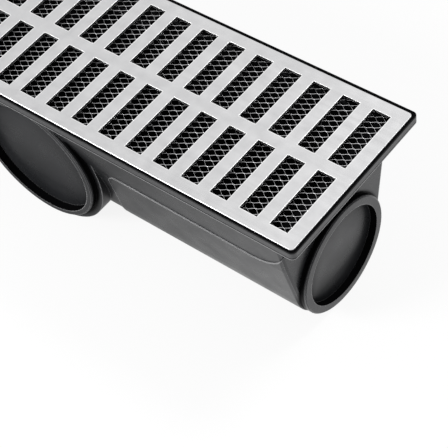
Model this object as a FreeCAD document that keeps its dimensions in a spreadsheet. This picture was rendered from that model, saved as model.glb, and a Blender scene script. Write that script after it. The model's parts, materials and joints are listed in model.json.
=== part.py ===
"""Linear drain: a moulded channel with pipe outlets, a slotted steel grate and a mesh screen under it.

Frame: +X along the channel, +Z up, origin under the middle of the part on the surface that it stands on.
The outlet collars, the end spigots and the raised panels reach lowest, all to height zero.
"""

import FreeCAD, Part
import math
import os

import Sketcher

Vector = FreeCAD.Vector
Placement = FreeCAD.Placement
Rotation = FreeCAD.Rotation

doc = FreeCAD.newDocument("LinearDrain")

# Driving dimensions, in millimetres
sheet = doc.addObject("Spreadsheet::Sheet", "Sizes")
SIZES = [
    ("overall_height", 133),
    ("rim_length", 496.8),
    ("rim_width", 138.8),
    ("rim_depth", 6.5),
    ("rim_corner", 4),
    ("rim_edge_chamfer", 0.5),
    ("ledge_thickness", 1.5),
    ("wall", 2.5),
    ("body_length", 457),
    ("body_corner", 3),
    ("floor_height", 1),
    ("trough_radius", 46),
    ("shoulder_height", 84),
    ("shoulder_width", 110),
    ("neck_width", 122),
    ("cove_radius", 8),
    ("throat_cove", 3),
    ("panel_rise", 1),
    ("panel_foot", 64),
    ("panel_lean", 7),
    ("panel_corner", 10),
    ("panel_fall", 3),
    ("panel_end_radius", 34),
    ("side_height", 61),
    ("side_collar_radius", 61),
    ("side_collar_span", 110),
    ("side_spigot_radius", 55),
    ("side_spigot_span", 121),
    ("side_bore_radius", 50.5),
    ("end_height", 45),
    ("end_spigot_radius", 45),
    ("end_spigot_reach", 4.5),
    ("end_spigot_root", 8),
    ("end_bore_radius", 38.5),
    ("spigot_edge_chamfer", 0.8),
    ("membrane", 1.5),
    ("grate_clearance", 0.4),
    ("grate_length", 492),
    ("grate_width", 134),
    ("grate_corner", 3),
    ("grate_sheet", 2),
    ("grate_edge_chamfer", 0.5),
    ("slot_columns", 20),
    ("slot_pitch", 24),
    ("slot_width", 14),
    ("slot_length", 52),
    ("row_spacing", 62),
    ("mesh_clearance", 0.5),
    ("mesh_thickness", 0.8),
    ("mesh_gap_length", 8),
    ("mesh_gap_width", 4.4),
    ("mesh_gap_spacing", 17),
]
for row, (alias, value) in enumerate(SIZES, start=1):
    sheet.set(f"A{row}", alias)
    sheet.set(f"B{row}", str(value))
    sheet.setAlias(f"B{row}", alias)
doc.recompute()

# Heights and lengths that several pieces share, worked out from the driving dimensions
RIM_UNDERSIDE = "(Sizes.overall_height - Sizes.rim_depth)"
LEDGE_TOP = "(Sizes.overall_height - Sizes.rim_depth + Sizes.ledge_thickness)"
SEAT_DEPTH = "(Sizes.rim_depth - Sizes.ledge_thickness)"
END_FACE = "(Sizes.body_length / 2)"
SEAT_LENGTH = "(Sizes.grate_length + 2 * Sizes.grate_clearance)"
SEAT_WIDTH = "(Sizes.grate_width + 2 * Sizes.grate_clearance)"
SEAT_CORNER = "(Sizes.grate_corner + Sizes.grate_clearance)"
OVERCUT = "(Sizes.wall)"
SIDE_FACE = "(Sizes.side_collar_span / 2)"
SIDE_MOUTH = "(Sizes.side_spigot_span / 2)"
END_MOUTH = f"({END_FACE} + Sizes.end_spigot_reach)"
INNER_END = f"({END_FACE} - Sizes.wall)"
INNER_SIDE = f"({SIDE_FACE} - Sizes.wall)"
END_MEMBRANE = f"({INNER_END} + Sizes.membrane)"
SIDE_MEMBRANE = f"({INNER_SIDE} + Sizes.membrane)"
CUP_ROOT = f"({SIDE_FACE} + Sizes.wall)"
ENDS = (("left", -1), ("right", 1))
SIDES = (("front", -1), ("back", 1))

# A rounded corner as steps: distance back from the end, and inset of the wall, as shares of its radius
CORNER_STEPS = ((1, 0), (0.293, 0.293), (0, 1))

# The middle of a quarter arc lies this share of its radius from its centre, both ways
DIAGONAL = math.sqrt(0.5)

# Sketch planes: across the channel, along its side, and from above
ACROSS = Rotation(Vector(0, 1, 0), Vector(0, 0, 1), Vector(1, 0, 0), "ZXY")
ALONG = Rotation(Vector(1, 0, 0), Vector(0, 0, 1), Vector(0, -1, 0), "ZXY")
ABOVE = Rotation()
AXIS_X = Rotation(Vector(0, 1, 0), 90)
AXIS_Y = Rotation(Vector(1, 0, 0), -90)

START, END, CENTRE = 1, 2, 3


def size(expression):
    """The value of an expression of the sheet's cells."""
    return float(sheet.evalExpression(expression.replace("Sizes.", "")))


# Sketch helpers: every point, radius and offset is bound to the sheet
def free_sketch(name, rotation):
    sketch = doc.addObject("Sketcher::SketchObject", name)
    sketch.Placement = Placement(Vector(), rotation)
    return sketch


def body_sketch(body, name, height):
    """A sketch on the body's XY plane, raised to a height."""
    sketch = body.newObject("Sketcher::SketchObject", name)
    plane = next(f for f in body.Origin.OriginFeatures if f.Role == "XY_Plane")
    sketch.AttachmentSupport = (plane, [""])
    sketch.MapMode = "FlatFace"
    sketch.setExpression(".AttachmentOffset.Base.z", height)
    return sketch


def bind(sketch, kind, targets, expression):
    index = sketch.addConstraint(Sketcher.Constraint(kind, *targets, size(expression)))
    sketch.setExpression(f"Constraints[{index}]", expression)


def pin_point(sketch, geometry, point, across, up):
    bind(sketch, "DistanceX", (geometry, point), across)
    bind(sketch, "DistanceY", (geometry, point), up)


def join(sketch, chain):
    """Joins each element's end to the next one's start, round to the first."""
    for first, second in zip(chain, chain[1:] + chain[:1]):
        sketch.addConstraint(Sketcher.Constraint("Coincident", first, END, second, START))


def polygon(sketch, corners):
    places = [Vector(size(x), size(y), 0) for x, y in corners]
    chain = [
        sketch.addGeometry(Part.LineSegment(a, b))
        for a, b in zip(places, places[1:] + places[:1])
    ]
    join(sketch, chain)
    for line, (x, y) in zip(chain, corners):
        pin_point(sketch, line, START, x, y)


def rounded_rectangle(sketch, middle, length, width, corner):
    """Four straight sides that run tangent into four corner arcs."""
    along, across, radius = size(length) / 2, size(width) / 2, size(corner)
    centre = Vector(size(middle[0]), size(middle[1]), 0)
    quarter = math.pi / 2
    signs = [(1, 1), (-1, 1), (-1, -1), (1, -1)]
    arcs = []
    for turn, (sx, sy) in enumerate(signs):
        place = centre + Vector(sx * (along - radius), sy * (across - radius), 0)
        circle = Part.Circle(place, Vector(0, 0, 1), radius)
        arcs.append(sketch.addGeometry(Part.ArcOfCircle(circle, turn * quarter, (turn + 1) * quarter)))
    ends = [(sketch.getPoint(arc, START), sketch.getPoint(arc, END)) for arc in arcs]
    for number, arc in enumerate(arcs):
        following = (number + 1) % len(arcs)
        side = sketch.addGeometry(Part.LineSegment(ends[number][1], ends[following][0]))
        sketch.addConstraint(Sketcher.Constraint("Tangent", arc, END, side, START))
        sketch.addConstraint(Sketcher.Constraint("Tangent", side, END, arcs[following], START))
    for arc, (sx, sy) in zip(arcs, signs):
        bind(sketch, "Radius", (arc,), corner)
        x = f"{middle[0]} + ({sx}) * (({length}) / 2 - ({corner}))"
        y = f"{middle[1]} + ({sy}) * (({width}) / 2 - ({corner}))"
        pin_point(sketch, arc, CENTRE, x, y)


def trough_section(name, outset, cove, top):
    """The channel's cross-section: a round floor, leaning lower walls, steeper upper walls and a cove
    that turns out under the rim. The outset moves the walls out, or in if it is negative."""
    sketch = free_sketch(name, ACROSS)
    radius = f"(Sizes.trough_radius + ({outset}))"
    centre = "(Sizes.floor_height + Sizes.trough_radius)"
    shoulder = f"(Sizes.shoulder_width / 2 + ({outset}))"
    neck = f"(Sizes.neck_width / 2 + ({outset}))"
    neck_height = f"({RIM_UNDERSIDE} - Sizes.cove_radius)"
    cove_top = f"({neck_height} + {cove})"

    # The lower wall is the tangent from the shoulder to the round floor.
    reach = Vector(size(shoulder), size("Sizes.shoulder_height") - size(centre), 0)
    lean = Vector(reach).normalize()
    share = size(radius) / reach.Length
    sideways = Vector(lean.y, -lean.x, 0) * (1 - share * share) ** 0.5
    touch = (lean * share + sideways) * size(radius)
    middle = Vector(0, size(centre), 0)

    right = [
        middle + touch,
        Vector(size(shoulder), size("Sizes.shoulder_height"), 0),
        Vector(size(neck), size(neck_height), 0),
        Vector(size(neck) + size(cove), size(cove_top), 0),
        Vector(size(neck) + size(cove), size(top), 0),
    ]
    left = [Vector(-p.x, p.y, 0) for p in right]
    bend = size(cove) * (1 - DIAGONAL)
    rise = size(cove) * DIAGONAL
    cove_mid = Vector(size(neck) + bend, size(neck_height) + rise, 0)
    floor_point = Vector(0, size(centre) - size(radius), 0)

    add = sketch.addGeometry
    floor = add(Part.Arc(left[0], floor_point, right[0]))
    lower_right = add(Part.LineSegment(right[0], right[1]))
    upper_right = add(Part.LineSegment(right[1], right[2]))
    cove_right = add(Part.Arc(right[3], cove_mid, right[2]))
    edge_right = add(Part.LineSegment(right[3], right[4]))
    lid = add(Part.LineSegment(right[4], left[4]))
    edge_left = add(Part.LineSegment(left[4], left[3]))
    cove_left = add(Part.Arc(left[2], Vector(-cove_mid.x, cove_mid.y, 0), left[3]))
    upper_left = add(Part.LineSegment(left[2], left[1]))
    lower_left = add(Part.LineSegment(left[1], left[0]))

    joints = [
        ("Tangent", floor, END, lower_right, START),
        ("Coincident", lower_right, END, upper_right, START),
        ("Coincident", upper_right, END, cove_right, END),
        ("Coincident", cove_right, START, edge_right, START),
        ("Coincident", edge_right, END, lid, START),
        ("Coincident", lid, END, edge_left, START),
        ("Coincident", edge_left, END, cove_left, END),
        ("Coincident", cove_left, START, upper_left, START),
        ("Coincident", upper_left, END, lower_left, START),
        ("Tangent", lower_left, END, floor, START),
    ]
    for joint in joints:
        sketch.addConstraint(Sketcher.Constraint(*joint))
    pin_point(sketch, floor, CENTRE, "0", centre)
    bind(sketch, "Radius", (floor,), radius)
    for sign, wall_lower, wall_upper, arc, edge in (
        ("1", (lower_right, END), (upper_right, END), cove_right, (edge_right, END)),
        ("-1", (lower_left, START), (upper_left, START), cove_left, (edge_left, START)),
    ):
        pin_point(sketch, *wall_lower, f"{sign} * {shoulder}", "Sizes.shoulder_height")
        pin_point(sketch, *wall_upper, f"{sign} * {neck}", neck_height)
        pin_point(sketch, arc, CENTRE, f"{sign} * ({neck} + {cove})", neck_height)
        pin_point(sketch, *edge, f"{sign} * ({neck} + {cove})", top)
    bind(sketch, "DistanceX", (edge_right, START), f"{neck} + {cove}")
    bind(sketch, "DistanceX", (edge_left, END), f"-({neck} + {cove})")
    return sketch


# Solid helpers
def extrude(name, sketch, length, both_ways):
    solid = doc.addObject("Part::Extrusion", name)
    solid.Base = sketch
    solid.DirMode = "Normal"
    solid.Solid = True
    solid.Symmetric = both_ways
    solid.setExpression("LengthFwd", length)
    return solid


def cylinder(name, rotation, radius, length, start):
    """A round bar along its axis from a start point, given as three expressions."""
    bar = doc.addObject("Part::Cylinder", name)
    bar.Placement = Placement(Vector(), rotation)
    bar.setExpression("Radius", radius)
    bar.setExpression("Height", length)
    for letter, place in zip("xyz", start):
        bar.setExpression(f".Placement.Base.{letter}", place)
    return bar


def fuse(name, members):
    joined = doc.addObject("Part::MultiFuse", name)
    joined.Shapes = members
    return joined


def chamfer(name, base, width, wanted):
    """Bevels the edges of a solid that the test picks."""
    doc.recompute()
    bevelled = doc.addObject("Part::Chamfer", name)
    bevelled.Base = base
    value = size(width)
    edges = enumerate(base.Shape.Edges, start=1)
    bevelled.Edges = [(number, value, value) for number, edge in edges if wanted(edge)]
    return bevelled


def close(a, b):
    return abs(a - b) < 1e-4


def on_rim_top(edge):
    box = edge.BoundBox
    return close(box.ZMin, size("Sizes.overall_height")) and close(box.ZLength, 0)


def is_mouth(edge):
    """The round edge at the open end of a side or end spigot."""
    if edge.Curve.TypeId != "Part::GeomCircle":
        return False
    place = edge.Curve.Center
    return close(abs(place.x), size(END_MOUTH)) or close(abs(place.y), size(SIDE_MOUTH))


def section_bar(name, outset):
    """A solid bar of the channel's section, as long as the body, with its end corners rounded in two steps."""
    cove = f"(Sizes.cove_radius - {outset})"
    middle = trough_section(f"{name}_section", outset, cove, LEDGE_TOP)
    members = [extrude(f"{name}_middle", middle, "Sizes.body_length - 2 * Sizes.body_corner", True)]
    for word, end in ENDS:
        sections = []
        for step, (back, inset) in enumerate(CORNER_STEPS):
            shrink = f"({outset} - {inset} * Sizes.body_corner)"
            section = trough_section(f"{name}_{word}_{step}", shrink, cove, LEDGE_TOP)
            section.setExpression(".Placement.Base.x", f"{end} * ({END_FACE} - {back} * Sizes.body_corner)")
            sections.append(section)
        cap = doc.addObject("Part::Loft", f"{name}_{word}_cap")
        cap.Sections = sections
        cap.Solid = True
        cap.Ruled = True
        members.append(cap)
    return fuse(name, members)


# The raised panels: the lower wall stands proud between the side outlet and each end.
def panel_outline(name, end):
    """One panel seen from the side. Its top edge rounds off by the outlet and sweeps up at the end."""
    sketch = free_sketch(name, ALONG)
    foot, top = "Sizes.panel_foot", "Sizes.shoulder_height"
    head = "(Sizes.panel_foot + Sizes.panel_lean)"
    turn = "(Sizes.panel_foot + Sizes.panel_lean + Sizes.panel_corner)"
    turn_height = "(Sizes.shoulder_height - Sizes.panel_corner)"
    outer_edge = f"({END_FACE} + {OVERCUT})"
    sweep = f"({outer_edge} - Sizes.panel_end_radius)"
    low = "(Sizes.shoulder_height - Sizes.panel_fall)"
    sweep_height = "(Sizes.shoulder_height - Sizes.panel_fall + Sizes.panel_end_radius)"

    def place(x, z):
        return Vector(end * size(x), size(z), 0)

    corner_bend = size("Sizes.panel_corner") * (1 - DIAGONAL)
    corner_mid = Vector(end * (size(head) + corner_bend), size(top) - corner_bend, 0)
    end_bend = size("Sizes.panel_end_radius") * (1 - DIAGONAL)
    end_rise = size("Sizes.panel_end_radius") * DIAGONAL
    end_mid = Vector(end * (size(sweep) + end_rise), size(low) + end_bend, 0)

    add = sketch.addGeometry
    flank = add(Part.LineSegment(place(foot, "0"), place(head, turn_height)))
    corner = add(Part.Arc(place(head, turn_height), corner_mid, place(turn, top)))
    brow = add(Part.LineSegment(place(turn, top), place(sweep, low)))
    rise = add(Part.Arc(place(sweep, low), end_mid, place(outer_edge, sweep_height)))
    outer = add(Part.LineSegment(place(outer_edge, sweep_height), place(outer_edge, "0")))
    base = add(Part.LineSegment(place(outer_edge, "0"), place(foot, "0")))

    # An arc always runs anticlockwise, so its two ends change places on the mirrored panel.
    corner_in, corner_out = (END, START) if end > 0 else (START, END)
    rise_in, rise_out = (START, END) if end > 0 else (END, START)
    for joint in (
        (flank, END, corner, corner_in),
        (corner, corner_out, brow, START),
        (brow, END, rise, rise_in),
        (rise, rise_out, outer, START),
        (outer, END, base, START),
        (base, END, flank, START),
    ):
        sketch.addConstraint(Sketcher.Constraint("Coincident", *joint))
    pin_point(sketch, flank, START, f"{end} * {foot}", "0")
    pin_point(sketch, flank, END, f"{end} * {head}", turn_height)
    pin_point(sketch, brow, START, f"{end} * {turn}", top)
    pin_point(sketch, brow, END, f"{end} * {sweep}", low)
    pin_point(sketch, outer, START, f"{end} * {outer_edge}", sweep_height)
    pin_point(sketch, outer, END, f"{end} * {outer_edge}", "0")
    bind(sketch, "Radius", (corner,), "Sizes.panel_corner")
    bind(sketch, "Radius", (rise,), "Sizes.panel_end_radius")
    return sketch


def raised_panels():
    proud = section_bar("proud_wall", "Sizes.panel_rise")
    outlines = [
        extrude(f"panel_{word}", panel_outline(f"panel_{word}_outline", end), "Sizes.rim_width", True)
        for word, end in ENDS
    ]
    panels = doc.addObject("Part::Common", "panels")
    panels.Base = proud
    panels.Tool = fuse("panel_outlines", outlines)
    return panels


# The channel body: one moulding of rim, trough, outlet collars, spigots and knock-out membranes
def rim_block():
    outline = free_sketch("rim_outline", ABOVE)
    outline.setExpression(".Placement.Base.z", RIM_UNDERSIDE)
    rounded_rectangle(outline, ("0", "0"), "Sizes.rim_length", "Sizes.rim_width", "Sizes.rim_corner")
    block = extrude("rim_block", outline, "Sizes.rim_depth", False)
    return chamfer("rim_edges", block, "Sizes.rim_edge_chamfer", on_rim_top)


def side_drum(name, radius, span):
    """A round bar straight across the channel, on the side outlets' axis."""
    start = ("0", f"-({span}) / 2", "Sizes.side_height")
    return cylinder(name, AXIS_Y, radius, span, start)


def end_stub(name, end, radius, inner, outer):
    """A round bar along the end outlets' axis, from one distance from the middle to another."""
    near_end = inner if end > 0 else f"-({outer})"
    start = (near_end, "0", "Sizes.end_height")
    return cylinder(name, AXIS_X, radius, f"({outer}) - ({inner})", start)


def channel_outside():
    members = [section_bar("trough_bar", "0"), raised_panels(), rim_block()]
    members.append(side_drum("collar_drum", "Sizes.side_collar_radius", "Sizes.side_collar_span"))
    spigots = side_drum("side_spigot_bar", "Sizes.side_spigot_radius", "Sizes.side_spigot_span")
    members.append(chamfer("side_spigot_edges", spigots, "Sizes.spigot_edge_chamfer", is_mouth))
    for word, end in ENDS:
        root = f"({END_FACE} - Sizes.end_spigot_root)"
        stub = end_stub(f"end_spigot_{word}", end, "Sizes.end_spigot_radius", root, END_MOUTH)
        members.append(chamfer(f"end_spigot_edges_{word}", stub, "Sizes.spigot_edge_chamfer", is_mouth))
    return fuse("channel_outside", members)


def channel_hollow():
    """The trough's inside, the grate's seat in the rim, and the drum that joins the two side outlets."""
    throat_top = f"({LEDGE_TOP} + {OVERCUT})"
    throat = trough_section("throat_section", "-Sizes.wall", "Sizes.throat_cove", throat_top)
    seat_outline = free_sketch("seat_outline", ABOVE)
    seat_outline.setExpression(".Placement.Base.z", LEDGE_TOP)
    rounded_rectangle(seat_outline, ("0", "0"), SEAT_LENGTH, SEAT_WIDTH, SEAT_CORNER)
    drum_radius = "Sizes.side_collar_radius - Sizes.wall"
    members = [
        extrude("throat", throat, f"2 * {INNER_END}", True),
        extrude("seat", seat_outline, f"{SEAT_DEPTH} + {OVERCUT}", False),
        side_drum("drum_hollow", drum_radius, f"2 * {INNER_SIDE}"),
    ]
    return fuse("channel_hollow", members)


def side_plug(name, side, radius, inner, outer):
    """A round bar along the side outlets' axis, from one distance from the middle to another."""
    near_side = inner if side > 0 else f"-({outer})"
    start = ("0", near_side, "Sizes.side_height")
    return cylinder(name, AXIS_Y, radius, f"({outer}) - ({inner})", start)


def outlet_bores():
    members = []
    for word, side in SIDES:
        mouth = f"({SIDE_MOUTH} + {OVERCUT})"
        radius = "Sizes.side_bore_radius"
        members.append(side_plug(f"side_bore_{word}", side, radius, SIDE_MEMBRANE, mouth))
    for word, end in ENDS:
        mouth = f"({END_MOUTH} + {OVERCUT})"
        radius = "Sizes.end_bore_radius"
        members.append(end_stub(f"end_bore_{word}", end, radius, END_MEMBRANE, mouth))
    return fuse("outlet_bores", members)


def channel_body():
    shell = doc.addObject("Part::Cut", "channel_shell")
    shell.Base = channel_outside()
    shell.Tool = channel_hollow()

    # Each side outlet is closed by a flat cup, which stands a little into the trough at its top.
    cup_radius = "(Sizes.side_bore_radius + Sizes.wall)"
    cups = [side_plug(f"side_cup_{word}", side, cup_radius, INNER_SIDE, CUP_ROOT) for word, side in SIDES]

    channel = doc.addObject("Part::Cut", "channel_body")
    channel.Base = fuse("channel_with_cups", [shell] + cups)
    channel.Tool = outlet_bores()
    channel.Refine = True
    return channel


# Sheet pieces that lie in the rim: both are a body with a pad, pockets and a row of repeats
def pad(body, name, sketch, height):
    feature = body.newObject("PartDesign::Pad", name)
    feature.Profile = sketch
    feature.setExpression("Length", height)
    return feature


def pocket(body, name, sketch, depth, upward):
    feature = body.newObject("PartDesign::Pocket", name)
    feature.Profile = sketch
    feature.Reversed = upward
    feature.setExpression("Length", depth)
    return feature


def repeat_along(body, name, feature, sketch):
    """Repeats a cut from the first slot column to the last."""
    doc.recompute()
    pattern = body.newObject("PartDesign::LinearPattern", name)
    pattern.Originals = [feature]
    pattern.Direction = (sketch, ["H_Axis"])
    pattern.setExpression("Length", "Sizes.slot_pitch * (Sizes.slot_columns - 1)")
    pattern.setExpression("Occurrences", "Sizes.slot_columns")
    body.Tip = pattern
    return pattern


FIRST_COLUMN = "(-Sizes.slot_pitch * (Sizes.slot_columns - 1) / 2)"
ROWS = (-1, 1)


def slotted_grate():
    """A steel sheet with its four edges folded down to the seat, and two rows of slots."""
    body = doc.addObject("PartDesign::Body", "slotted_grate")
    outline = body_sketch(body, "grate_outline", LEDGE_TOP)
    rounded_rectangle(outline, ("0", "0"), "Sizes.grate_length", "Sizes.grate_width", "Sizes.grate_corner")
    block = pad(body, "grate_block", outline, SEAT_DEPTH)
    doc.recompute()
    top_edges = [f"Edge{n}" for n, edge in enumerate(block.Shape.Edges, start=1) if on_rim_top(edge)]
    bevel = body.newObject("PartDesign::Chamfer", "grate_edges")
    bevel.Base = (block, top_edges)
    bevel.setExpression("Size", "Sizes.grate_edge_chamfer")

    under = body_sketch(body, "fold_outline", LEDGE_TOP)
    inner_length = "(Sizes.grate_length - 2 * Sizes.grate_sheet)"
    inner_width = "(Sizes.grate_width - 2 * Sizes.grate_sheet)"
    inner_corner = "(Sizes.grate_corner - Sizes.grate_sheet / 2)"
    rounded_rectangle(under, ("0", "0"), inner_length, inner_width, inner_corner)
    pocket(body, "folded_underside", under, f"{SEAT_DEPTH} - Sizes.grate_sheet", True)

    slots = body_sketch(body, "slot_pair", "Sizes.overall_height")
    for row in ROWS:
        middle = f"({row} * Sizes.row_spacing / 2)"
        left, right = f"{FIRST_COLUMN} - Sizes.slot_width / 2", f"{FIRST_COLUMN} + Sizes.slot_width / 2"
        low, high = f"{middle} - Sizes.slot_length / 2", f"{middle} + Sizes.slot_length / 2"
        polygon(slots, [(left, low), (right, low), (right, high), (left, high)])
    first = pocket(body, "first_slots", slots, "Sizes.grate_sheet + " + OVERCUT, False)
    repeat_along(body, "slot_rows", first, slots)
    return body


def mesh_screen():
    """A thin screen on the rim's ledge, inside the grate's folded edges, with diamond gaps under each slot."""
    body = doc.addObject("PartDesign::Body", "mesh_screen")
    inset = "(Sizes.grate_sheet + Sizes.mesh_clearance)"
    length = f"(Sizes.grate_length - 2 * {inset})"
    width = f"(Sizes.grate_width - 2 * {inset})"
    corner = "(Sizes.grate_corner - Sizes.grate_sheet / 2)"
    outline = body_sketch(body, "mesh_outline", LEDGE_TOP)
    rounded_rectangle(outline, ("0", "0"), length, width, corner)
    pad(body, "mesh_sheet", outline, "Sizes.mesh_thickness")

    gaps = body_sketch(body, "mesh_gaps", f"{LEDGE_TOP} + Sizes.mesh_thickness")
    half_length, half_width = "Sizes.mesh_gap_length / 2", "Sizes.mesh_gap_width / 2"
    for row in ROWS:
        for step in (-1, 0, 1):
            middle = f"({row} * Sizes.row_spacing / 2 + ({step}) * Sizes.mesh_gap_spacing)"
            polygon(
                gaps,
                [
                    (f"{FIRST_COLUMN} + {half_length}", middle),
                    (FIRST_COLUMN, f"{middle} + {half_width}"),
                    (f"{FIRST_COLUMN} - {half_length}", middle),
                    (FIRST_COLUMN, f"{middle} - {half_width}"),
                ],
            )
    first = pocket(body, "first_gaps", gaps, "2 * Sizes.mesh_thickness", False)
    repeat_along(body, "gap_rows", first, gaps)
    return body


pieces = [channel_body(), slotted_grate(), mesh_screen()]
doc.recompute()

for item in doc.Objects:
    if "Invalid" in item.State or "Error" in item.State:
        raise RuntimeError(f"{item.Name} did not build: {item.State}")
for piece in pieces:
    shape = piece.Shape
    if shape.isNull() or not shape.isValid() or len(shape.Solids) != 1:
        raise RuntimeError(f"{piece.Label} is not one valid solid")

os.makedirs("parts", exist_ok=True)
for piece in pieces:
    piece.Shape.exportStep(f"parts/{piece.Label}.step")
    print(piece.Label, round(piece.Shape.Volume), [round(v, 2) for v in piece.Shape.BoundBox.getPoint(6)])
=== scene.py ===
import json
import math

import bmesh
import bpy
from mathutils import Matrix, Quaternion, Vector


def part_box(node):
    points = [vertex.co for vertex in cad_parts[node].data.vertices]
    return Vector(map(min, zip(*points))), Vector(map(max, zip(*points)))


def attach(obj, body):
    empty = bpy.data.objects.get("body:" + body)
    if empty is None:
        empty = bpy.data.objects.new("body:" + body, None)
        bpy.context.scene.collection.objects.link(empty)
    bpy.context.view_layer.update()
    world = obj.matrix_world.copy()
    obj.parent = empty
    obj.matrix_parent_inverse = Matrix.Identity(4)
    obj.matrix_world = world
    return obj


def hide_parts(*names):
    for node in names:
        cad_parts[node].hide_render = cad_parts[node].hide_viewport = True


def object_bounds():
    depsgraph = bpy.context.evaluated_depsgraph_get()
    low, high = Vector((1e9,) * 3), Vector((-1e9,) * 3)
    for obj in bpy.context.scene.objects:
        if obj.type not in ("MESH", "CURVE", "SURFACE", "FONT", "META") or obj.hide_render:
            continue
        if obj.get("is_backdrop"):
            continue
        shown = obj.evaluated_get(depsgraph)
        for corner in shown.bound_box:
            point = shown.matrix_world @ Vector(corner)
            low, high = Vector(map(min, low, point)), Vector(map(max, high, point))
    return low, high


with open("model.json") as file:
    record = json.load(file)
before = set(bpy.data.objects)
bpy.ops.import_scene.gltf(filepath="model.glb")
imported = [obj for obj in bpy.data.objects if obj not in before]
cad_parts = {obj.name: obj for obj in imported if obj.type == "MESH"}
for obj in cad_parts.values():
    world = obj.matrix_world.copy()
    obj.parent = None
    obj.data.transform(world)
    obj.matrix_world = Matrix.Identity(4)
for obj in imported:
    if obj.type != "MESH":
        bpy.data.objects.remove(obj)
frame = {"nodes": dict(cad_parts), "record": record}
cad_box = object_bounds()

MM = 0.001

# Places on the grate
GRATE_LOW, GRATE_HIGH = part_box("slotted_grate")
GRATE_BORDER = 3 * MM
SLOT_EDGE = 1.6 * MM
LIT_EDGE = 0.2 * MM

# Places on the channel body
CHANNEL_MIDDLE = (0, 0, 75 * MM)
LEDGE_HEIGHT = GRATE_LOW.z
LEDGE_THICKNESS = 1.5 * MM
LEDGE_TOLERANCE = 0.2 * MM
RIM_UNDERSIDE = LEDGE_HEIGHT - LEDGE_THICKNESS
RIM_LIP = 0.7 * MM
RIM_FOOT = 1.2 * MM
PANEL_START = 62 * MM
PANEL_FADE = 30 * MM
PANEL_END = 228 * MM
PANEL_SIDE = 50 * MM
PANEL_TOP = 117 * MM

# Places round the outlets for the painted shade in their grooves: the groove's reach along an outlet's axis
# is from the middle of its bore
SIDE_RING = 55 * MM
SIDE_GROOVE = 5.5 * MM
END_GROOVE = 3.2 * MM
GROOVE_INWARD = 4.5 * MM
GROOVE_OUTWARD = 0.8 * MM
RING_TOLERANCE = 0.2 * MM
GROOVE_BLACK_SHARE = 1 / 3

# Places in an outlet's recess, as shares of its radius: out from the axis, then up from it
RECESS_REACH = 1.004
PALE_RADIUS = 0.45
DARK_RADIUS = 0.95
DARK_HEIGHT = -0.55
PALE_HEIGHT = 0.15

# Limits on the direction of a face or edge, each a cosine
TURNED_EDGE = 0.84
FLAT_FACE = 0.99
UPRIGHT_FACE = 0.3
BROW_RISE = 0.25
BROW_SIDEWAYS = 0.05

# Finish of the plastic, with painted highlights and painted shade
# Painted shade: black on the rim's top, in the grooves round the outlets and inside the channel
SHADE_BLACK = (0.003, 0.003, 0.0033)
DARK_PLASTIC = (0.010, 0.0105, 0.0115)
LIGHT_PLASTIC = (0.017, 0.0175, 0.019)
# Painted light: the rim's upright faces are lighter than the walls
RIM_PAINTED_LIGHT = (0.055, 0.0555, 0.057)
# Painted highlight on the rim's lip
LIP_HIGHLIGHT_GREY = (0.22, 0.22, 0.225)
# Painted highlight on the panels' brows
BROW_HIGHLIGHT_GREY = (0.29, 0.29, 0.295)
# Painted highlight along outer edges
EDGE_HIGHLIGHT_GREY = (0.32, 0.32, 0.325)
REFLECTION_TINT = (0.965, 0.965, 1.0, 1)
PLASTIC_IOR = 1.45
PLASTIC_ROUNDING = 1.0 * MM
CREVICE_REACH = 12 * MM
INSIDE_ROUGHNESS = 0.85

# Finish of the steel, with painted highlights and painted shade on the slots
GRATE_TONES = ((0.54, 0.54, 0.547), (0.615, 0.615, 0.62))
MESH_TONES = ((0.50, 0.50, 0.51), (0.64, 0.64, 0.65))
# Painted shade on the slot walls
CUT_WALL_SHADE = (0.10, 0.10, 0.105)
# Painted highlight along the slot edges
CUT_EDGE_HIGHLIGHT = (0.95, 0.95, 0.95)
STEEL_ROUNDING = 0.25 * MM
HAIR_STRETCH = (0.03, 1.0, 1.0)
HAIR_CONTRAST = 0.05

# Rays for each soft edge and crevice
EDGE_SAMPLES = 8


# Nodes
def new_material(name):
    """A material, with its node tree and its main shader."""
    material = bpy.data.materials.new(name)
    material.use_nodes = True
    tree = material.node_tree
    shader = next(n for n in tree.nodes if n.type == "BSDF_PRINCIPLED")
    return material, tree, shader


def feed(tree, socket, value):
    """Links a socket to the output of another node, or sets it to a fixed value."""
    if isinstance(value, bpy.types.NodeSocket):
        tree.links.new(value, socket)
    else:
        socket.default_value = value


def arithmetic(tree, operation, first, second=0.0):
    """One step of arithmetic on numbers, each fixed or the output of another node."""
    node = tree.nodes.new("ShaderNodeMath")
    node.operation = operation
    feed(tree, node.inputs[0], first)
    feed(tree, node.inputs[1], second)
    return node.outputs["Value"]


def vector_arithmetic(tree, operation, first, second=(0, 0, 0)):
    """One step of arithmetic on vectors, each fixed or the output of another node."""
    node = tree.nodes.new("ShaderNodeVectorMath")
    node.operation = operation
    feed(tree, node.inputs[0], first)
    feed(tree, node.inputs[1], second)
    return node.outputs["Value" if operation in ("DOT_PRODUCT", "LENGTH") else "Vector"]


def axis_parts(tree, vector):
    """The X, Y and Z parts of a vector."""
    node = tree.nodes.new("ShaderNodeSeparateXYZ")
    feed(tree, node.inputs["Vector"], vector)
    return node.outputs


def own_place(tree):
    """A point's place in the part's own frame, because each object sits at the origin."""
    return tree.nodes.new("ShaderNodeTexCoord").outputs["Object"]


def face_normal(tree):
    """The direction that a face looks in, with no rounding."""
    return tree.nodes.new("ShaderNodeNewGeometry").outputs["True Normal"]


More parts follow.
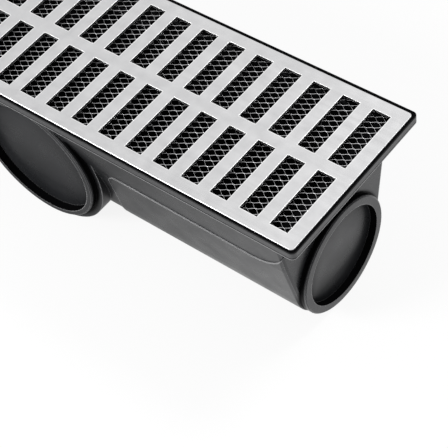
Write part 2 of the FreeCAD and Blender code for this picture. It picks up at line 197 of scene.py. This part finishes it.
def noise(tree, scale, detail, stretch=(1.0, 1.0, 1.0)):
    """A noise pattern in the part's own frame, stretched if need be."""
    mapping = tree.nodes.new("ShaderNodeMapping")
    feed(tree, mapping.inputs["Vector"], own_place(tree))
    feed(tree, mapping.inputs["Scale"], stretch)
    pattern = tree.nodes.new("ShaderNodeTexNoise")
    feed(tree, pattern.inputs["Vector"], mapping.outputs["Vector"])
    feed(tree, pattern.inputs["Scale"], scale)
    feed(tree, pattern.inputs["Detail"], detail)
    return pattern.outputs["Fac"]


def ramp(tree, value, low, high, start=0.3, end=0.7):
    """Turns a value that runs from start to end, as a noise pattern mostly does, into a colour."""
    node = tree.nodes.new("ShaderNodeValToRGB")
    for element, position, colour in zip(node.color_ramp.elements, (start, end), (low, high)):
        element.position = position
        element.color = (*colour, 1)
    feed(tree, node.inputs["Fac"], value)
    return node.outputs["Color"]


def spread(tree, value, low, high, start=0.3, end=0.7):
    """Turns a value that runs from start to end into a number from low to high."""
    node = tree.nodes.new("ShaderNodeMapRange")
    feed(tree, node.inputs["From Min"], start)
    feed(tree, node.inputs["From Max"], end)
    feed(tree, node.inputs["To Min"], low)
    feed(tree, node.inputs["To Max"], high)
    feed(tree, node.inputs["Value"], value)
    return node.outputs["Result"]


def mix_colour(tree, factor, first, second):
    """A blend from one colour to a fixed second one."""
    node = tree.nodes.new("ShaderNodeMix")
    node.data_type = "RGBA"
    # The colour sockets share their names with those for numbers, so they go by their numbers here.
    feed(tree, node.inputs[0], factor)
    feed(tree, node.inputs[6], first)
    feed(tree, node.inputs[7], (*second, 1))
    return node.outputs[2]


def soft_edge(tree, radius):
    """Normals that turn smoothly over each edge, as on a real moulded or cut edge."""
    node = tree.nodes.new("ShaderNodeBevel")
    node.samples = EDGE_SAMPLES
    feed(tree, node.inputs["Radius"], radius)
    return node.outputs["Normal"]


def crevice(tree, reach):
    """1 on open faces, falling towards 0 in corners and grooves of the part itself."""
    node = tree.nodes.new("ShaderNodeAmbientOcclusion")
    node.samples = EDGE_SAMPLES
    node.only_local = True
    feed(tree, node.inputs["Distance"], reach)
    return node.outputs["AO"]


def bump(tree, shader, value, strength, distance, normal):
    """A fine relief on top of the given normals."""
    node = tree.nodes.new("ShaderNodeBump")
    feed(tree, node.inputs["Strength"], strength)
    feed(tree, node.inputs["Distance"], distance)
    feed(tree, node.inputs["Height"], value)
    feed(tree, node.inputs["Normal"], normal)
    feed(tree, shader.inputs["Normal"], node.outputs["Normal"])


# Masks, each from 0 to 1
def keep_where(tree, mask, *comparisons):
    """The mask where each comparison of a value with a limit holds, and 0 elsewhere."""
    for operation, value, limit in comparisons:
        mask = arithmetic(tree, "MULTIPLY", mask, arithmetic(tree, operation, value, limit))
    return mask


def turned(tree, rounded):
    """1 along edges, where the rounded normals leave the face, and 0 on flat faces."""
    agreement = vector_arithmetic(tree, "DOT_PRODUCT", rounded, face_normal(tree))
    return spread(tree, agreement, 1.0, 0.0, start=TURNED_EDGE, end=FLAT_FACE)


def edge_highlight_mask(tree, rounded, openness):
    """Painted highlight: 1 along outer edges, and 0 on faces and in corners."""
    outer = spread(tree, openness, 0.0, 1.0, start=0.45, end=0.7)
    return arithmetic(tree, "MULTIPLY", turned(tree, rounded), outer)


def upward(tree, normal):
    """1 where the normals point up, falling to 0 where they are level."""
    return spread(tree, axis_parts(tree, normal)["Z"], 0.0, 1.0, start=0.0, end=1.0)


def inside_mask(tree):
    """1 on faces that look in at the middle of the channel, and on the ledge under the screen."""
    place = own_place(tree)
    offset = vector_arithmetic(tree, "SUBTRACT", place, CHANNEL_MIDDLE)
    outward = vector_arithmetic(tree, "DOT_PRODUCT", offset, face_normal(tree))
    inward = arithmetic(tree, "LESS_THAN", outward, 0.0)
    rise = arithmetic(tree, "SUBTRACT", axis_parts(tree, place)["Z"], LEDGE_HEIGHT)
    ledge = arithmetic(tree, "LESS_THAN", arithmetic(tree, "ABSOLUTE", rise), LEDGE_TOLERANCE)
    return arithmetic(tree, "MAXIMUM", inward, ledge)


def panel_brow_highlight(tree):
    """Painted highlight: 1 on the narrow step along the top of each raised panel."""
    normal = axis_parts(tree, face_normal(tree))
    place = axis_parts(tree, own_place(tree))
    along = arithmetic(tree, "ABSOLUTE", place["X"])
    return keep_where(
        tree,
        spread(tree, along, 0.0, 1.0, start=PANEL_START, end=PANEL_START + PANEL_FADE),
        ("LESS_THAN", along, PANEL_END),
        ("LESS_THAN", place["Z"], PANEL_TOP),
        ("GREATER_THAN", arithmetic(tree, "ABSOLUTE", place["Y"]), PANEL_SIDE),
        ("GREATER_THAN", normal["Z"], BROW_RISE),
        ("LESS_THAN", arithmetic(tree, "ABSOLUTE", normal["Y"]), BROW_SIDEWAYS),
    )


def rim_lip_highlight(tree):
    """Painted highlight: 1 on a narrow band along the foot of the rim's upright faces."""
    height = axis_parts(tree, own_place(tree))["Z"]
    return keep_where(
        tree,
        arithmetic(tree, "LESS_THAN", upward(tree, face_normal(tree)), UPRIGHT_FACE),
        ("GREATER_THAN", height, RIM_UNDERSIDE),
        ("LESS_THAN", height, RIM_UNDERSIDE + RIM_LIP),
    )


def outlets(tree):
    """Each outlet's mount, with a point's distance from its axis, and along that axis from its middle."""
    place = own_place(tree)
    for mount in frame["record"]["mounts"]:
        if mount["kind"] == "bore":
            offset = vector_arithmetic(tree, "SUBTRACT", place, mount["pos_m"])
            across = vector_arithmetic(tree, "CROSS_PRODUCT", offset, mount["axis"])
            distance = vector_arithmetic(tree, "LENGTH", across)
            yield mount, distance, vector_arithmetic(tree, "DOT_PRODUCT", offset, mount["axis"])


def outlet_groove_shade(tree):
    """Painted shade: 1 at the foot of each outlet's ring, falling to 0 a few millimetres out along the face
    round it.
    """
    total = 0.0
    for mount, distance, along in outlets(tree):
        if mount["axis"][0]:
            # An end ring stands on the ground, so the height of its middle is its outer radius.
            ring, reach = mount["pos_m"][2], END_GROOVE
        else:
            ring, reach = SIDE_RING, SIDE_GROOVE
        shade = keep_where(
            tree,
            spread(tree, distance, 1.0, 0.0, start=ring + reach * GROOVE_BLACK_SHARE, end=ring + reach),
            ("GREATER_THAN", distance, ring - RING_TOLERANCE),
            ("GREATER_THAN", along, -GROOVE_INWARD),
            ("LESS_THAN", along, GROOVE_OUTWARD),
        )
        total = arithmetic(tree, "ADD", shade, total)
    return total


def recess_shade(tree):
    """Rises from 0 in the middle of each knock-out disc to 1 at its edge, low down and on the bore."""
    total = 0.0
    height = axis_parts(tree, own_place(tree))["Z"]
    for mount, distance, along in outlets(tree):
        radius = mount["dims"]["r_mm"] * MM
        depth = mount["dims"]["length_mm"] * MM
        rise = arithmetic(tree, "SUBTRACT", height, mount["pos_m"][2])
        edge = spread(tree, distance, 0.0, 1.0, start=radius * PALE_RADIUS, end=radius * DARK_RADIUS)
        low = spread(tree, rise, 1.0, 0.0, start=radius * DARK_HEIGHT, end=radius * PALE_HEIGHT)
        shade = keep_where(
            tree,
            arithmetic(tree, "MAXIMUM", edge, low),
            ("LESS_THAN", distance, radius * RECESS_REACH),
            ("LESS_THAN", arithmetic(tree, "ABSOLUTE", along), depth),
        )
        total = arithmetic(tree, "ADD", shade, total)
    return total


def cut_wall_shade(tree):
    """Painted shade: 1 on the walls of the slots and the folded edges, a little below the flat of the sheet.
    """
    height = axis_parts(tree, own_place(tree))["Z"]
    return arithmetic(tree, "LESS_THAN", height, GRATE_HIGH.z - LIT_EDGE)


def slot_edge_highlight(tree):
    """Painted highlight: 1 along the edges of the slots, and 0 along the outer edge of the grate."""
    place = axis_parts(tree, own_place(tree))
    return keep_where(
        tree,
        turned(tree, soft_edge(tree, SLOT_EDGE)),
        ("LESS_THAN", arithmetic(tree, "ABSOLUTE", place["X"]), GRATE_HIGH.x - GRATE_BORDER),
        ("LESS_THAN", arithmetic(tree, "ABSOLUTE", place["Y"]), GRATE_HIGH.y - GRATE_BORDER),
    )


# Materials
def moulded_plastic():
    """Black moulded plastic: a satin skin, with painted highlights along outer edges, the rim's lip and the
    panels' brows, painted light on the rim's sides, painted shade on its top, in the grooves and inside, and
    gloss cut as painted shade in corners, recesses and inside.
    """
    material, tree, shader = new_material("moulded_plastic")
    feed(tree, shader.inputs["IOR"], PLASTIC_IOR)
    feed(tree, shader.inputs["Specular Tint"], REFLECTION_TINT)
    rounded = soft_edge(tree, PLASTIC_ROUNDING)
    openness = crevice(tree, CREVICE_REACH)
    inside = inside_mask(tree)
    groove_shade = outlet_groove_shade(tree)
    height = axis_parts(tree, own_place(tree))["Z"]
    below = arithmetic(tree, "LESS_THAN", height, RIM_UNDERSIDE + RIM_FOOT)
    # The rim's upright faces get painted light, and its top painted shade
    on_rim = arithmetic(tree, "SUBTRACT", 1.0, below)
    rim_top = arithmetic(tree, "MULTIPLY", upward(tree, face_normal(tree)), on_rim)
    # Painted highlight along outer edges below the rim
    edge_highlight = arithmetic(tree, "MULTIPLY", edge_highlight_mask(tree, rounded, openness), below)

    colour = ramp(tree, noise(tree, scale=22, detail=3), DARK_PLASTIC, LIGHT_PLASTIC)
    # Over the plastic's own mottled tone: painted light on the rim's sides, painted shade on its top,
    # painted highlights along outer edges, the rim's lip and the panels' brows, and painted shade in the
    # grooves and inside
    for mask, coat in (
        (on_rim, RIM_PAINTED_LIGHT),
        (rim_top, SHADE_BLACK),
        (edge_highlight, EDGE_HIGHLIGHT_GREY),
        (rim_lip_highlight(tree), LIP_HIGHLIGHT_GREY),
        (groove_shade, SHADE_BLACK),
        (inside, SHADE_BLACK),
        (panel_brow_highlight(tree), BROW_HIGHLIGHT_GREY),
    ):
        colour = mix_colour(tree, mask, colour, coat)
    feed(tree, shader.inputs["Base Color"], colour)

    satin = spread(tree, noise(tree, scale=60, detail=4), low=0.24, high=0.34)
    dull = arithmetic(tree, "MULTIPLY", inside, INSIDE_ROUGHNESS)
    feed(tree, shader.inputs["Roughness"], arithmetic(tree, "MAXIMUM", satin, dull))

    # Gloss falls in corners, in the recesses, on upward faces, on the rim's top, in the grooves and inside,
    # so these read darker: painted shade
    gloss = spread(tree, openness, low=0.04, high=0.5, start=0.45, end=0.85)
    for mask, loss in (
        (inside, 0.95),
        (recess_shade(tree), 0.9),
        (upward(tree, rounded), 0.92),
        (rim_top, 0.95),
        (groove_shade, 0.92),
    ):
        kept = spread(tree, mask, 1.0, 1.0 - loss, start=0.0, end=1.0)
        gloss = arithmetic(tree, "MULTIPLY", gloss, kept)
    feed(tree, shader.inputs["Specular IOR Level"], gloss)

    grain = noise(tree, scale=1400, detail=2)
    bump(tree, shader, grain, strength=0.05, distance=0.2 * MM, normal=rounded)
    return material


def satin_steel(name, tones, roughness, slotted):
    """Stainless sheet: fine mottling and hair lines along it. Slots have painted highlights along their
    edges and painted shade on their walls.
    """
    material, tree, shader = new_material(name)
    feed(tree, shader.inputs["Metallic"], 1.0)
    colour = ramp(tree, noise(tree, scale=90, detail=5), *tones)
    if slotted:
        # Painted shade on the slot walls, then painted highlights along the slot edges
        colour = mix_colour(tree, cut_wall_shade(tree), colour, CUT_WALL_SHADE)
        colour = mix_colour(tree, slot_edge_highlight(tree), colour, CUT_EDGE_HIGHLIGHT)
    feed(tree, shader.inputs["Base Color"], colour)
    hair = noise(tree, scale=260, detail=3, stretch=HAIR_STRETCH)
    satin = spread(tree, hair, roughness - HAIR_CONTRAST, roughness + HAIR_CONTRAST)
    feed(tree, shader.inputs["Roughness"], satin)
    bump(tree, shader, hair, strength=0.04, distance=0.1 * MM, normal=soft_edge(tree, STEEL_ROUNDING))
    return material


def dress(node, material):
    """Gives a node of the frame its material."""
    mesh = frame["nodes"][node].data
    mesh.materials.clear()
    mesh.materials.append(material)


plastic = moulded_plastic()
grate_steel = satin_steel("grate_steel", GRATE_TONES, roughness=0.40, slotted=True)
mesh_steel = satin_steel("mesh_steel", MESH_TONES, roughness=0.34, slotted=False)
dress("channel_body", plastic)
dress("slotted_grate", grate_steel)
dress("mesh_screen", mesh_steel)


# The mesh screen as expanded metal: wide strands one way, narrow ones the other, each tilted on its length
CELL_LONG = 9.7 * MM
CELL_SHORT = 5.5 * MM
BOND = 1.2 * MM
STRAND_THICKNESS = 0.26 * MM
WIDE_STRAND = 0.32 * MM
NARROW_STRAND = 0.24 * MM
WIDE_TILT = math.radians(20)
NARROW_TILT = math.radians(30)
STRAND_OVERLAP = 0.3


def add_strand(shape, start, end, width, tilt):
    """One flat bar between two knots of the mesh, a share of its width longer at each end."""
    along = (end - start).normalized()
    turn = Quaternion(along, tilt)
    across = turn @ Vector((-along.y, along.x, 0)) * (width / 2)
    through = turn @ Vector((0, 0, 1)) * (STRAND_THICKNESS / 2)
    overlap = along * (width * STRAND_OVERLAP)
    corners = []
    for place in (start - overlap, end + overlap):
        for side, face in ((-1, -1), (1, -1), (1, 1), (-1, 1)):
            corners.append(shape.verts.new(place + across * side + through * face))
    near, far = corners[:4], corners[4:]
    shape.faces.new(near)
    shape.faces.new(far[::-1])
    for k in range(4):
        following = (k + 1) % 4
        shape.faces.new((near[following], near[k], far[k], far[following]))


def mesh_strands():
    """The bonds and strands of the mesh, over the area of the screen and resting at its foot."""
    low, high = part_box("mesh_screen")
    middle = (low + high) / 2
    inset = WIDE_STRAND
    height = low.z + NARROW_STRAND / 2 * math.sin(NARROW_TILT) + STRAND_THICKNESS / 2
    columns = int((high.x - low.x - 2 * inset) / CELL_LONG)
    rows = int((high.y - low.y - 2 * inset) / CELL_SHORT)
    bond = Vector((BOND / 2, 0, 0))
    shape = bmesh.new()
    for i in range(-columns, columns):
        for j in range(-rows, rows + 1):
            if (i + j) % 2:
                continue
            knot = Vector((middle.x + i * CELL_LONG / 2, middle.y + j * CELL_SHORT / 2, height))
            add_strand(shape, knot - bond, knot + bond, WIDE_STRAND + NARROW_STRAND, 0)
            for step, width, tilt in ((1, WIDE_STRAND, WIDE_TILT), (-1, NARROW_STRAND, NARROW_TILT)):
                if abs(j + step) > rows:
                    continue
                following = knot + Vector((CELL_LONG / 2, step * CELL_SHORT / 2, 0))
                add_strand(shape, knot + bond, following - bond, width, tilt)
    bmesh.ops.recalc_face_normals(shape, faces=shape.faces)
    return shape


def expanded_mesh():
    """The piece that is seen in place of the plainer screen."""
    shape = mesh_strands()
    mesh = bpy.data.meshes.new("expanded_mesh")
    shape.to_mesh(mesh)
    shape.free()
    mesh.materials.append(mesh_steel)
    piece = bpy.data.objects.new("expanded_mesh", mesh)
    bpy.context.scene.collection.objects.link(piece)
    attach(piece, "root")
    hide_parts("mesh_screen")


expanded_mesh()


# Stage: a pale floor, an even pale surround, and soft lamps behind and in front of the part
FLOOR_SPAN = 12
FLOOR_GREY = (0.93, 0.93, 0.93, 1)
FLOOR_ROUGHNESS = 0.9
FLOOR_WHITENESS = 0.88
MIRRORED_LEFT = 0.38
MIRRORED_RIGHT = 0.90
MIRROR_START = 20 * MM
MIRROR_END = 200 * MM
WHITE = (1, 1, 1, 1)


def pale_floor():
    """A pale floor that shows nearly white, keeps a soft shadow, and is mirrored darker towards the left."""
    bpy.ops.mesh.primitive_plane_add(size=FLOOR_SPAN, location=(0, 0, 0))
    floor = bpy.context.object
    floor.name = "floor"
    material, tree, shader = new_material("pale_floor")
    feed(tree, shader.inputs["Base Color"], FLOOR_GREY)
    feed(tree, shader.inputs["Roughness"], FLOOR_ROUGHNESS)
    path = tree.nodes.new("ShaderNodeLightPath").outputs
    along = axis_parts(tree, own_place(tree))["X"]
    level = spread(tree, along, MIRRORED_LEFT, MIRRORED_RIGHT, start=MIRROR_START, end=MIRROR_END)
    mirrored = arithmetic(tree, "MULTIPLY", path["Is Glossy Ray"], level)
    glow = tree.nodes.new("ShaderNodeEmission")
    feed(tree, glow.inputs["Strength"], arithmetic(tree, "MAXIMUM", path["Is Camera Ray"], mirrored))
    whitened = arithmetic(tree, "MULTIPLY", path["Is Camera Ray"], FLOOR_WHITENESS)
    blend = tree.nodes.new("ShaderNodeMixShader")
    feed(tree, blend.inputs["Fac"], arithmetic(tree, "MAXIMUM", whitened, path["Is Glossy Ray"]))
    feed(tree, blend.inputs[1], shader.outputs["BSDF"])
    feed(tree, blend.inputs[2], glow.outputs["Emission"])
    output = next(n for n in tree.nodes if n.type == "OUTPUT_MATERIAL")
    feed(tree, output.inputs["Surface"], blend.outputs["Shader"])
    floor.data.materials.append(material)
    floor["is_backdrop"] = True


def surround(strength):
    """A white surround: the given strength as light, and full white where it is seen or reflected."""
    world = bpy.data.worlds.new("surround")
    world.use_nodes = True
    tree = world.node_tree
    background = next(n for n in tree.nodes if n.type == "BACKGROUND")
    feed(tree, background.inputs["Color"], WHITE)
    path = tree.nodes.new("ShaderNodeLightPath").outputs
    shown = arithmetic(tree, "MAXIMUM", path["Is Camera Ray"], path["Is Glossy Ray"])
    feed(tree, background.inputs["Strength"], spread(tree, shown, strength, 1.0, start=0.0, end=1.0))
    bpy.context.scene.world = world


def area_light(name, place, target, power, width):
    """A round soft lamp that looks at its target."""
    lamp = bpy.data.lights.new(name, "AREA")
    lamp.energy = power
    lamp.shape = "DISK"
    lamp.size = width
    holder = bpy.data.objects.new(name, lamp)
    holder.location = place
    holder.rotation_mode = "QUATERNION"
    holder.rotation_quaternion = (Vector(target) - Vector(place)).to_track_quat("-Z", "Y")
    bpy.context.scene.collection.objects.link(holder)


pale_floor()
surround(strength=0.45)
area_light("key", place=(0.55, 0.95, 1.7), target=(0.05, 0, 0.1), power=16, width=0.6)
area_light("edge_light", place=(-0.55, -1.05, 0.75), target=(0.1, 0, 0.08), power=18, width=0.6)


# Camera at the close-up's viewing angle and framing
CAMERA_PLACE = (0.6100, -0.4692, 0.8406)
CAMERA_TURN = Quaternion((0.897412, 0.293595, 0.158229, 0.28882))
FOCAL_LENGTH = 116.93
SENSOR_WIDTH = 36
NEAREST = 0.05
FARTHEST = 50


def photo_camera():
    camera = bpy.data.cameras.new("camera")
    camera.sensor_width = SENSOR_WIDTH
    camera.lens = FOCAL_LENGTH
    camera.clip_start = NEAREST
    camera.clip_end = FARTHEST
    holder = bpy.data.objects.new("camera", camera)
    holder.location = CAMERA_PLACE
    holder.rotation_mode = "QUATERNION"
    holder.rotation_quaternion = CAMERA_TURN
    bpy.context.scene.collection.objects.link(holder)
    bpy.context.scene.camera = holder


photo_camera()
bpy.context.scene.view_settings.view_transform = "Standard"

boxes = {"cad": cad_box, "visual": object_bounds()}
{name: [list(corner) for corner in pair] for name, pair in boxes.items()}
